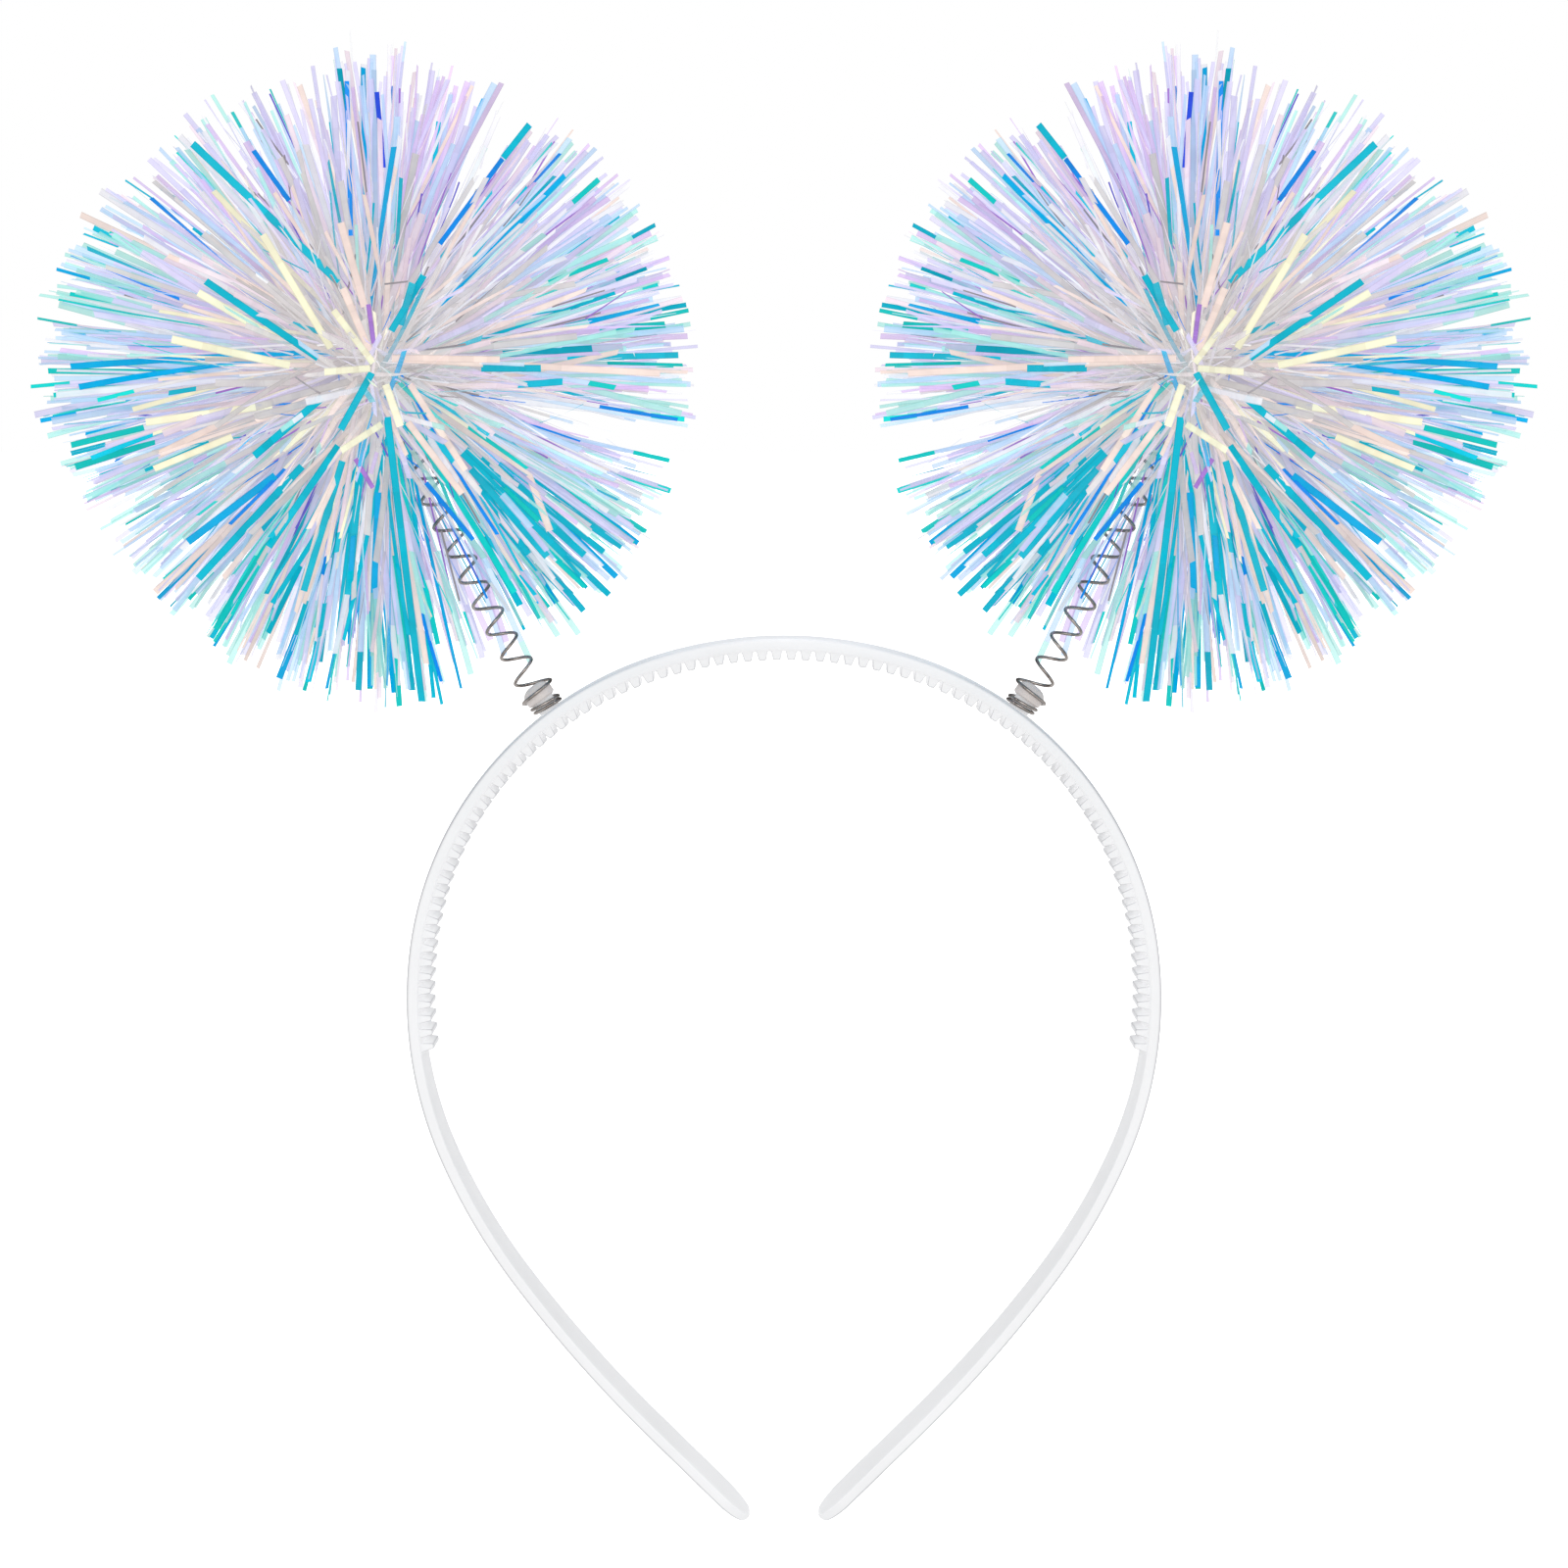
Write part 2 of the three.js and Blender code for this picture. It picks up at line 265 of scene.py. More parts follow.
def crest(along):
    """A place on the band's outer crest: its point, the way along the band, the way in and the slope."""
    side = -1 if along < 0 else 1
    left = abs(along)
    x, z, fall = 0.0, CROWN_TOP, 0.0
    for radius, degrees in OUTLINE_ARCS:
        turn = min(left / radius, math.radians(degrees))
        x += radius * (math.sin(fall + turn) - math.sin(fall))
        z -= radius * (math.cos(fall) - math.cos(fall + turn))
        fall += turn
        left -= radius * turn
    x += left * math.cos(fall)
    z -= left * math.sin(fall)
    slope = side * fall
    point = np.array([side * x, 0, z])
    forward = np.array([math.cos(slope), 0, -math.sin(slope)])
    inward = np.array([-math.sin(slope), 0, -math.cos(slope)])
    return point, forward, inward, slope


def band_section(along):
    """The section at a place along the band, narrowed and thinned from outside in the rounded tip."""
    point, _, inward, slope = crest(along)
    from_tip = min(max((ARM_LENGTH - abs(along)) / TIP_ROUND, TIP_FLAT), 1)
    share = math.sqrt(1 - (1 - from_tip) ** 2)
    half = BAND_WIDTH / 2 * share
    slim = 1 - TIP_THINNING * (1 - share)
    from_end = min(max((ARM_LENGTH - abs(along)) / TIP_EDGE, TIP_FLAT), 1)
    edge = math.sqrt(1 - (1 - from_end) ** 2)
    middle = BAND_THICKNESS * (1 - slim / 2)
    top = middle - BAND_THICKNESS * slim * edge / 2
    inner = middle + BAND_THICKNESS * slim * edge / 2
    rise = COMB_RISE + CROWN_RISE * max(math.cos(slope), 0)
    back = inner + rise * min(max((COMB_END - abs(along)) / COMB_RAMP, 0), 1)
    corners = []
    for i in range(DOME_STEPS + 1):
        across = 2 * i / DOME_STEPS - 1
        at_edge = i in (0, DOME_STEPS)
        depth = top + DOME * slim * edge * across**2
        corners.append((across * half, depth, SHOULDER_ROUND * share if at_edge else 0))
    corners.append((half, back, EDGE_ROUND * share))
    corners.append((-half, inner, EDGE_ROUND * share))
    return [point + inward * depth + np.array([0, across, 0]) for across, depth in softened(corners)]


def round_greys(first, middle, last):
    """Greys along a softened corner."""
    return list(np.interp(np.linspace(0, 1, ROUND_STEPS + 1), (0, 0.5, 1), (first, middle, last)))


def band_greys(along):
    """How much painted shade each point of a section gets: thin grey lines on the edges, and the inner face
    beyond the comb.
    """
    _, _, _, slope = crest(along)
    front = min(abs(slope) / math.radians(LINE_SLOPE), 1)
    inner = np.interp(abs(along), *zip(*INNER_GREYS))
    greys = round_greys(0, LINE_MIDDLE * front, front) + [0] * (DOME_STEPS - 1)
    greys += round_greys(1, LINE_MIDDLE, 0)
    greys += round_greys(0, 1, inner) + round_greys(inner, 0, 0)
    end = 1 - (ARM_LENGTH - abs(along)) / END_LINE
    return [max(grey, end) for grey in greys]


def band_pales(along):
    """How much painted light each point of a section gets: the outer face at the crown, and the back of the
    inner face.
    """
    _, _, _, slope = crest(along)
    crown = CROWN_PALE * max(math.cos(slope), 0)
    gap = GAP_PALE * min(max((COMB_END - abs(along)) / COMB_RAMP, 0), 1)
    pales = round_greys(0, 0, crown) + [crown] * (DOME_STEPS - 1) + round_greys(0, 0, 0)
    return pales + round_greys(0, 0, gap) + round_greys(0, 0, 0)


def band_skin(points, faces, greys, pales):
    body = ARM_LENGTH - TIP_ROUND
    steps = round(body / BAND_STEP)
    half = [body * i / steps for i in range(1, steps + 1)]
    half += [body + TIP_ROUND * math.sin(i / TIP_STEPS * math.pi / 2) for i in range(1, TIP_STEPS + 1)]
    half = sorted(half + [COMB_END - COMB_RAMP, COMB_END])
    places = [-along for along in reversed(half)] + [0.0] + half
    loft([band_section(along) for along in places], points, faces)
    for along in places:
        greys.extend(band_greys(along))
        pales.extend(band_pales(along))


def tooth(along, points, faces, greys):
    """A tapered tooth across the inner face, with a softened tip and grey edges of painted shade."""
    point, forward, inward, slope = crest(along)
    upright = 1 - max(math.cos(slope), 0)
    slim = 1 - (1 - ARM_TOOTH_SHARE) * upright
    rings = []
    for height, shrink, corner, wall in TOOTH_RINGS:
        share = (height + TOOTH_SINK) / (TOOTH_REACH + TOOTH_SINK)
        wide = slim * (TOOTH_ROOT + (TOOTH_TIP - TOOTH_ROOT) * share) / 2 - shrink * TOOTH_SOFT
        long = (TOOTH_LENGTH + (TOOTH_TIP_LENGTH - TOOTH_LENGTH) * share) / 2 - shrink * TOOTH_SOFT
        corners = ((-long, -wide), (long, -wide), (long, wide), (-long, wide))
        outline = softened([(across, aside, TOOTH_CORNER) for across, aside in corners])
        reach = height + ARM_TOOTH_REACH * upright if height > 0 else height
        middle = point + inward * (BAND_THICKNESS + reach)
        rings.append([middle + forward * aside + np.array([0, across, 0]) for across, aside in outline])
        greys.extend(round_greys(wall, corner, wall) * len(corners))
    loft(rings, points, faces)


def from_peg(side, local):
    """Points in a peg's frame, +Z along the peg, brought to the part's frame."""
    point, _, _, slope = crest(side * PEG_ALONG)
    turn = np.array([
        [math.cos(slope), 0, math.sin(slope)],
        [0, 1, 0],
        [-math.sin(slope), 0, math.cos(slope)],
    ])
    return np.asarray(local) @ turn.T + point


def peg(side, points, faces):
    angles = np.linspace(0, 2 * math.pi, PEG_SIDES, endpoint=False)
    rings = []
    for radius, height in PEG_PROFILE:
        level = np.full(PEG_SIDES, height)
        ring = np.stack([radius * np.cos(angles), radius * np.sin(angles), level], axis=1)
        rings.append(list(from_peg(side, ring)))
    loft(rings, points, faces)


def make_band(material):
    """The one-piece moulding: arch, teeth and pegs, with the peg heads and the edges marked for painted
    shade, and the pale parts for painted light.
    """
    points, faces, greys, pales = [], [], [], []
    band_skin(points, faces, greys, pales)
    for side in (-1, 1):
        for i in range(TEETH_PER_SIDE):
            tooth(side * (i + 0.5) * TOOTH_PITCH, points, faces, greys)
    moulded = len(points)
    pales += [TOOTH_PALE] * (moulded - len(pales))
    for side in (-1, 1):
        peg(side, points, faces)
    band = make_piece("band", points, faces, material, BAND_CREASE)
    # the peg heads are greyed as painted shade
    heads = [float(height > PEG_NECK) for _, height in PEG_PROFILE]
    peg_marks = [0.0] * moulded + list(np.tile(np.repeat(heads, PEG_SIDES), 2))
    edge_marks = greys + [0.0] * (len(points) - moulded)
    pale_marks = pales + [0.0] * (len(points) - moulded)
    for name, values in (("peg", peg_marks), ("edge", edge_marks), ("pale", pale_marks)):
        mark = band.data.attributes.new(name, "FLOAT", "POINT")
        mark.data.foreach_set("value", values)
    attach(band, "band")
    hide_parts("headband")


# Springs

def axis_place(rise):
    """The left spring's axis at a distance from its foot: the point and the direction, in the peg's frame."""
    middle = np.array([0, 0, SPRING_STRAIGHT])
    end = np.array([POMPOM_LEAN, 0, POMPOM_RISE])
    shares = np.linspace(0, 1, AXIS_STEPS)[:, None]
    line = 2 * shares * (1 - shares) * middle + shares**2 * end
    lengths = np.concatenate([[0], np.cumsum(np.linalg.norm(np.diff(line, axis=0), axis=1))])
    share = np.interp(rise, lengths, shares[:, 0])[:, None]
    point = 2 * share * (1 - share) * middle + share**2 * end
    direction = (1 - 2 * share) * middle + share * end
    return point, direction / np.linalg.norm(direction, axis=1, keepdims=True)


def eased(places, rows):
    """Rows read at places by smooth curves through all of them, with no overshoot."""
    knots = rows[:, 0]
    steps = np.diff(rows[:, 1:], axis=0) / np.diff(knots)[:, None]
    slopes = np.zeros_like(rows[:, 1:])
    joint = steps[:-1] * steps[1:]
    slopes[1:-1] = np.where(joint > 0, 2 * joint / (steps[:-1] + steps[1:] + TINY), 0)
    slopes[0], slopes[-1] = steps[0], steps[-1]
    at = np.clip(np.searchsorted(knots, places, side="right") - 1, 0, len(knots) - 2)
    span = (knots[at + 1] - knots[at])[:, None]
    t = (places - knots[at])[:, None] / span
    low, high = rows[at, 1:], rows[at + 1, 1:]
    return (
        (2 * t**3 - 3 * t**2 + 1) * low + (t**3 - 2 * t**2 + t) * span * slopes[at]
        + (3 * t**2 - 2 * t**3) * high + (t**3 - t**2) * span * slopes[at + 1]
    )


def wire_line():
    """The middle line of the left spring's wire in the peg's frame."""
    rows = np.array(SPRING_PROFILE, float)
    turns = np.linspace(rows[0, 0], rows[-1, 0], round(rows[-1, 0] * STEPS_PER_TURN) + 1)
    shape = eased(turns, rows)
    rise, radius = shape[:, 0], shape[:, 1]
    point, direction = axis_place(rise)
    aside = np.stack([direction[:, 2], np.zeros(len(rise)), -direction[:, 0]], axis=1)
    angle = (2 * math.pi * turns)[:, None]
    return point + radius[:, None] * (aside * np.cos(angle) + np.array([0, 1, 0]) * np.sin(angle))


def tube(line, radius, sides, points, faces):
    """A round wire along a line, its ends rounded off."""
    ahead = np.gradient(line, axis=0)
    ahead /= np.linalg.norm(ahead, axis=1, keepdims=True)
    across = np.cross(ahead[0], [0, 0, 1.0])
    angles = np.linspace(0, 2 * math.pi, sides, endpoint=False)
    thick = np.full(len(line), radius)
    thick[[0, -1]] *= WIRE_ENDS[0]
    thick[[1, -2]] *= WIRE_ENDS[1]
    rings = []
    for place, way, size in zip(line, ahead, thick):
        across = across - way * np.dot(across, way)
        across /= np.linalg.norm(across)
        beside = np.cross(way, across)
        rings.append([place + size * (math.cos(a) * across + math.sin(a) * beside) for a in angles])
    loft(rings, points, faces)


def make_spring(side, label, material):
    line = wire_line()
    axis, _ = axis_place(np.array([PEG_TOP, BEND_END]))
    if side > 0:
        line = line * np.array([-1, 1, 1])
        axis = axis * np.array([-1, 1, 1])
    points, faces = [], []
    tube(from_peg(side, line), WIRE_RADIUS, WIRE_SIDES, points, faces)
    name = f"spring_wire_{label}"
    spring = make_piece(name, points, faces, material, WIRE_CREASE)
    bend = from_peg(side, axis) * MM
    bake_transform(spring)
    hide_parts(f"spring_{label}")


# Pompoms

POMPOM_MIDDLE = from_peg(-1, [[POMPOM_LEAN, 0, POMPOM_RISE]])[0]
TO_SPRING = from_peg(-1, axis_place(np.array([SPRING_SEEN]))[0])[0] - POMPOM_MIDDLE

# How far the strips reach round the rim of the left pompom: (degrees from +X towards +Z, millimetres)
RIM_REACH = (
    (0, 52.5), (20, 51.5), (45, 50.5), (60, 47), (68, 50), (80, 50.5), (90, 53), (99, 48), (110, 48),
    (122, 51), (135, 48.5), (150, 52), (170, 55), (190, 55), (215, 52), (240, 52.5), (262, 55.5),
    (276, 56), (291, 51.5), (305, 50), (318, 53.5), (331, 52), (345, 52),
)

# Partings seen from the front: (degrees, half width in degrees, reach where it starts, share missing)
PARTINGS = (
    (62, 6, 25, 0.9), (-14.5, 6, 29, 0.97), (101, 5, 35, 0.75), (120, 5, 39, 0.7), (140, 5, 38, 0.7),
    (-70, 3.5, 26, 0.75), (80, 3, 38, 0.5), (30, 3, 44, 0.4),
)

# Where few strips cross the spring: degrees seen from the front, half width, depth, share missing
SPRING_WINDOW = (-64, 7, 0.1, 0.85)

# Share of strips in saturated colours round the rim of the left pompom: (degrees, share)
TEAL_SHARE = (
    (0, 0.04), (30, 0.02), (60, 0.02), (90, 0.02), (120, 0.02), (150, 0.03), (180, 0.04), (210, 0.05),
    (235, 0.09), (262, 0.25), (282, 0.27), (310, 0.19), (332, 0.1),
)
BLUE_SHARE = (
    (0, 0.0), (60, 0.01), (90, 0.015), (120, 0.01), (180, 0.0), (240, 0.01), (280, 0.015), (330, 0.0),
)

# Share of the other strips that have a saturated dash, and of the rest that have a saturated end
DASH_SHARE = (
    (0, 0.1), (45, 0.02), (90, 0.015), (135, 0.03), (180, 0.18), (220, 0.15), (260, 0.12), (310, 0.16),
)
END_SHARE = (
    (0, 0.3), (45, 0.1), (90, 0.07), (135, 0.14), (180, 0.5), (220, 0.4), (260, 0.3), (310, 0.35),
)

# Mixes of pale colours by where a strip points, with their weights
PALE_MIXES = {
    "top": {"lavender": 6, "pale_blue": 2.6, "lilac": 1.6, "mist": 2.4, "mint": 0.6, "pink": 1, "peach": 0.4},
    "side": {"lavender": 4, "pale_blue": 3, "lilac": 1.1, "mist": 2, "mint": 1.8, "pink": 1.2, "peach": 0.6},
    "bottom": {
        "lavender": 3.6, "pale_blue": 2.4, "lilac": 0.9, "mist": 2, "mint": 1.4, "pink": 2, "peach": 0.8,
    },
    "facing": {"grey": 5, "lavender": 1.6, "peach": 2, "cream": 0.8, "pink": 1.2, "mist": 1.4, "teal": 0.5},
}
TOP_DEGREES = (40, 140)
BOTTOM_DEGREES = (225, 318)
WARM = ("peach", "cream")
VIVID_MIXES = {
    "teal": {"teal": 2, "cyan": 1.4, "aqua": 1.1},
    "blue": {"blue": 2, "deep_blue": 1},
    "dash": {"teal": 3, "cyan": 2, "aqua": 2.5, "mint": 2, "blue": 0.8, "lilac": 1},
    "end": {"mint": 4, "aqua": 1.6, "pale_blue": 1.6, "teal": 1, "mist": 1},
}
DASH_LENGTHS = (2, 5)  # segments, the last not reached
END_LENGTHS = (1, 3)
GREY_LENGTH = 0.75  # share of a pale strip that is greyer towards its root, as painted shade deep in the pompom
STRIP_SHADES = 0.1  # painted light and shade: spread of brightness from strip to strip, for strips turned differently to the light
WARM_SHADES = 0.04
SEGMENT_SHADES = 0.03  # the same along a strip
# shade strips are painted shade and mist strips painted highlights; the rest are film colours
SLIVER_MIX = {
    "indigo": 1, "purple": 2.6, "lilac": 3, "teal": 1.5, "blue": 1, "shade": 2.5, "mist": 8, "peach": 1,
}
FACING_DEPTH = 0.68  # strips that point to the front or back more than this have the facing mix
FACING_THINNED = 0.35  # share of those strips left out, so that the others show between them

# Strips that stand out in the left pompom, as seen from the front: reach and degrees of both ends, colour
STANDOUTS = (
    (8, 156, 28, 130, "cream"), (1, 120, 11.5, 126, "cream"), (1, 180, 8.5, 184, "cream"),
    (14, 178, 33, 172, "cream"), (18, 199, 38.5, 193, "cream"), (26, 205, 39.5, 204, "cream"),
    (16, 164, 31, 157, "cream"), (9, 275, 14.5, 246, "cream"), (3, 300, 10, 292, "cream"),
    (15, 113, 46, 129, "teal"), (9.5, 170, 30.5, 153, "teal"), (6.5, 67, 17, 62, "teal"),
    (8, 60, 15, 66, "teal"), (17, 0, 27, 0, "teal"), (31, 3, 49, 2.5, "teal"),
    (8, 282, 54.5, 277, "teal"), (16, 249, 38, 251, "teal"), (14, 243, 34, 238, "teal"),
    (10, 208, 24, 215, "teal"), (1, 225, 11.5, 239, "teal"), (17, 260, 37, 262, "teal"),
    (20, 270, 52, 268, "cyan"), (20, 232, 45, 229, "teal"), (24, 226, 42, 222, "cyan"),
    (21.5, 100, 46, 95, "blue"), (32, 87, 44, 89, "deep_blue"), (22.5, 62, 39.5, 58, "blue"),
    (30, 117, 40, 119, "blue"), (20, -67, 31.5, -61, "blue"), (39.5, 58, 46, 57, "teal"),
    (3, 32, 46, -1, "peach"), (4, 25, 20, 4, "peach"), (6, -25, 21.5, -49, "peach"),
    (10, -60, 24, -56, "peach"), (30, -35, 38, -43, "peach"), (6, 20, 33, 9, "grey"),
    (3, 110, 14, 112, "peach"), (10, 100, 24, 103, "peach"), (15, 256, 19.5, 268, "purple"),
    (4, 95, 9, 96, "purple"),
)
STANDOUT_REACH = 51.0  # distance of their tips from the pompom's middle
STANDOUT_START = 0.97  # most that the root's distance from the middle is of the tip's
STANDOUT_DEPTH = 36.0  # nearest that such a strip comes to the pompom's middle
# painted light and shade: spread of brightness along a standout strip
STANDOUT_SHADES = 0.04
STANDOUT_WIDTH = 1.08
STANDOUT_WIDTHS = (0.9, 1.08)  # least and most, as shares
STANDOUT_TWIST = 0.12
STANDOUT_BOW = 0.5
DARK = ("blue", "deep_blue", "purple")
DARK_WIDTH = 0.65  # share of the width that strips in these colours have

# Strips beside the spring, just behind it: places and colours in the same way
BEHIND_SPRING = (
    (30, -62, 51, -67, "pale_blue"), (34, -61.5, 50, -63, "pale_blue"), (50, -63, 53.7, -63.2, "mint"),
    (32, -62, 49, -65.6, "lilac"), (32, -56, 52.3, -56.6, "mint"), (36, -52.5, 54, -53.4, "mint"),
    (26, -54, 49.8, -56, "pink"), (28, -58, 47, -59, "lavender"), (34, -50, 51.5, -50.1, "teal"),
    (34, -45, 52.4, -44.7, "teal"), (33, -40, 51.3, -41.4, "cyan"), (30, -69, 50, -71, "lavender"),
    (31, -73, 52, -74, "mint"),
)
BEHIND = 4.0  # how far behind the spring's axis they lie
BEHIND_TWIST = 0.3
BEHIND_BOW = 0.4

TEAL_FAN = (-43.5, 5.5, 6)  # degrees of a fan of teal strips, its half width, and how many strips
FAN_ROOT = (18, 7)  # reach of its roots in the middle, and how much more at the sides
FAN_TIP = (44, 5)  # reach of its tips in the middle, and how much it changes to the sides
FAN_TURN = 2  # degrees by which the outer strips spread more at their tips
FAN_REACH = 49  # distance of its tips from the pompom's middle


def interpolated(angles, pairs):
    """Values at angles in degrees, read round a closed list of (degrees, value)."""
    degrees, values = zip(*pairs)
    return np.interp(angles, degrees, values, period=360)


def turn_between(angle, middle):
    """The turn in degrees from middle to angle, between -180 and 180."""
    return (angle - middle + 180) % 360 - 180


def unit(vectors):
    return vectors / np.linalg.norm(vectors, axis=-1, keepdims=True)


def even_directions(count):
    """Directions spread evenly over a sphere."""
    height = 1 - (2 * np.arange(count) + 1) / count
    ring = np.sqrt(1 - height**2)
    angle = np.arange(count) * math.pi * (3 - math.sqrt(5))
    return np.stack([ring * np.cos(angle), ring * np.sin(angle), height], axis=1)


def seen_reach(offset):
    """How far from the pompom's middle the camera sees a point at an offset from it."""
    point = POMPOM_MIDDLE + offset
    ray = point - CAMERA_PLACE
    flat = CAMERA_PLACE - ray * CAMERA_PLACE[1] / ray[1]
    return np.linalg.norm(flat - POMPOM_MIDDLE)


def seen_at(reach, degrees, radius):
    """The front point at a radius from the pompom's middle that the camera sees at a reach and an angle."""
    angle = math.radians(degrees)
    aim = POMPOM_MIDDLE + reach * np.array([math.cos(angle), 0, math.sin(angle)])
    ray = unit(aim - CAMERA_PLACE)
    nearest = CAMERA_PLACE + ray * np.dot(POMPOM_MIDDLE - CAMERA_PLACE, ray)
    miss = np.linalg.norm(nearest - POMPOM_MIDDLE)
    return nearest - ray * math.sqrt(max(radius**2 - miss**2, 0)) - POMPOM_MIDDLE


class Strips:
    """Film strips of one pompom, gathered in arrays about its middle."""

    def __init__(self, rng):
        self.rng = rng
        self.roots, self.tips, self.normals, self.widths = [], [], [], []
        self.twists, self.bows, self.tints = [], [], []

    def add(self, root, tip, normal, width, twist, bow, tint):
        self.roots.append(root)
        self.tips.append(tip)
        self.normals.append(normal)
        self.widths.append(width)
        self.twists.append(twist)
        self.bows.append(bow)
        self.tints.append(tint)

    def arrays(self):
        """Vertices, faces and a colour for each face."""
        roots, tips = np.array(self.roots), np.array(self.tips)
        way = unit(tips - roots)
        normals = np.array(self.normals)
        normals = unit(normals - way * np.sum(normals * way, axis=1, keepdims=True))
        sides = np.cross(way, normals)
        shares = np.linspace(0, 1, STRIP_SEGMENTS + 1)
        bend = np.array(self.bows)[:, None] * shares**2
        straight = roots[:, None] + (tips - roots)[:, None] * shares[:, None]
        middle = straight + normals[:, None] * bend[..., None]
        turn = np.array(self.twists)[:, None] * shares
        across = sides[:, None] * np.cos(turn)[..., None] + normals[:, None] * np.sin(turn)[..., None]
        across *= np.array(self.widths)[:, None, None] / 2
        vertices = np.stack([middle + 2 * share * across for share in STRIP_COLUMNS], axis=2).reshape(-1, 3)
        columns = len(STRIP_COLUMNS)
        rows = np.arange(len(roots))[:, None] * (STRIP_SEGMENTS + 1) + np.arange(STRIP_SEGMENTS)
        first = rows[..., None] * columns + np.arange(columns - 1)
        faces = (first[..., None] + np.array([0, 1, columns + 1, columns])).reshape(-1, 4)
        tints = np.repeat(np.array(self.tints)[:, :, None], columns - 1, axis=2)
        # painted shade along the thin edges of each strip
        tints[:, :, [0, -1], :3] *= EDGE_SHADE
        return vertices, faces, tints.reshape(-1, 4)


def tint_of(colour):
    code, opacity = FILM[colour]
    return np.array(linear(code) + [opacity])


def picked(rng, mix):
    names = list(mix)
    weights = np.array([mix[name] for name in names], float)
    return names[rng.choice(len(names), p=weights / weights.sum())]


def pale_mix(direction, angle):
    if abs(direction[1]) > FACING_DEPTH:
        return PALE_MIXES["facing"]
    if TOP_DEGREES[0] < angle % 360 < TOP_DEGREES[1]:
        return PALE_MIXES["top"]
    if BOTTOM_DEGREES[0] < angle % 360 < BOTTOM_DEGREES[1]:
        return PALE_MIXES["bottom"]
    return PALE_MIXES["side"]


def strip_tint(rng, direction, angle):
    """A colour for each segment of a strip: one film colour, greyed towards its root as painted shade, on
    some a vivid dash, and a painted spread of brightness.
    """
    rim = math.hypot(direction[0], direction[2])
    chance = rng.random()
    teal = interpolated(angle, TEAL_SHARE) * rim
    blue = interpolated(angle, BLUE_SHARE) * rim
    colour = picked(rng, pale_mix(direction, angle))
    if chance < teal:
        colour = picked(rng, VIVID_MIXES["teal"])
    elif chance < teal + blue:
        colour = picked(rng, VIVID_MIXES["blue"])
    tint = np.tile(tint_of(colour), (STRIP_SEGMENTS, 1))
    if chance >= teal + blue:
        # painted shade: greyer towards the root, deep inside the pompom
        inner = np.clip(1 - np.linspace(0, 1, STRIP_SEGMENTS) / GREY_LENGTH, 0, 1)[:, None]
        tint += (tint_of("grey") - tint) * inner
        if rng.random() < interpolated(angle, DASH_SHARE) * rim:
            start = rng.integers(STRIP_SEGMENTS // 2, STRIP_SEGMENTS)
            end = start + rng.integers(*DASH_LENGTHS)
            tint[start:end] = tint_of(picked(rng, VIVID_MIXES["dash"]))
        elif rng.random() < interpolated(angle, END_SHARE) * rim:
            tint[-rng.integers(*END_LENGTHS):] = tint_of(picked(rng, VIVID_MIXES["end"]))
    # painted light and shade: brightness spread from strip to strip and along each
    shade = rng.normal(1, WARM_SHADES if colour in WARM else STRIP_SHADES)
    tint[:, :3] *= shade * rng.normal(1, SEGMENT_SHADES, (STRIP_SEGMENTS, 1))
    return np.clip(tint, 0, 1)


def parted(rng, direction, angle, reach):
    """True for a strip that a parting or the spring's window leaves out."""
    if np.dot(direction, unit(TO_SPRING)) > math.cos(math.radians(PARTING_DEGREES)):
        return True
    if abs(direction[1]) > FACING_DEPTH and rng.random() < FACING_THINNED:
        return True
    seen = reach * math.hypot(direction[0], direction[2])
    for middle, half_width, inner, missing in PARTINGS:
        if abs(turn_between(angle, middle)) < half_width and seen > inner and rng.random() < missing:
            return True
    middle, half_width, depth, missing = SPRING_WINDOW
    return abs(turn_between(angle, middle)) < half_width and direction[1] < depth and rng.random() < missing


def scatter_strips(strips):
    """The mass of strips: even directions drawn together into clumps, thinned at the partings."""
    rng = strips.rng
    directions = unit(even_directions(STRIP_COUNT) + rng.normal(0, DIRECTION_SPREAD, (STRIP_COUNT, 3)))
    clumps = unit(even_directions(CLUMPS) + rng.normal(0, CLUMP_SPREAD, (CLUMPS, 3)))
    nearest = clumps[np.argmax(directions @ clumps.T, axis=1)]
    directions = unit(directions + CLUMP_PULL * (nearest - directions))
    for direction in directions:
        angle = math.degrees(math.atan2(direction[2], direction[0]))
        rim = math.hypot(direction[0], direction[2])
        limit = interpolated(angle, RIM_REACH)
        reach = FACE_REACH + (limit - FACE_REACH) * rim
        reach *= min(1, limit / seen_reach(direction * reach))
        reach += rng.normal(0, REACH_SPREAD) - rng.exponential(SHORTFALL)
        if parted(rng, direction, angle, reach):
            continue
        root = direction * rng.uniform(*ROOT_REACH) + rng.normal(0, ROOT_SPREAD, 3)
        aside = rng.normal(0, TIP_SPREAD, 3)
        tip = direction * reach + aside - direction * np.dot(aside, direction)
        tint = strip_tint(rng, direction, angle)
        width = rng.uniform(*STRIP_WIDTHS)
        twist = rng.normal(0, STRIP_TWIST)
        strips.add(root, tip, unit(rng.normal(0, 1, 3)), width, twist, rng.normal(0, STRIP_BOW), tint)


def scatter_slivers(strips):
    """Short thin strips among the others: film seen on its edge in its deeper colours, and painted shade and
    painted highlights in grey and white.
    """
    rng = strips.rng
    for direction in unit(rng.normal(0, 1, (SLIVER_COUNT, 3))):
        reach = rng.uniform(*SLIVER_REACH)
        root = direction * (reach - rng.uniform(*SLIVER_LENGTH)) + rng.normal(0, SLIVER_SPREAD, 3)
        tint = np.tile(tint_of(picked(rng, SLIVER_MIX)), (STRIP_SEGMENTS, 1))
        width = SLIVER_WIDTH * rng.uniform(*SLIVER_WIDTHS)
        normal = unit(rng.normal(0, 1, 3))
        strips.add(root, direction * reach, normal, width, SLIVER_TWIST, rng.normal(0, SLIVER_BOW), tint)


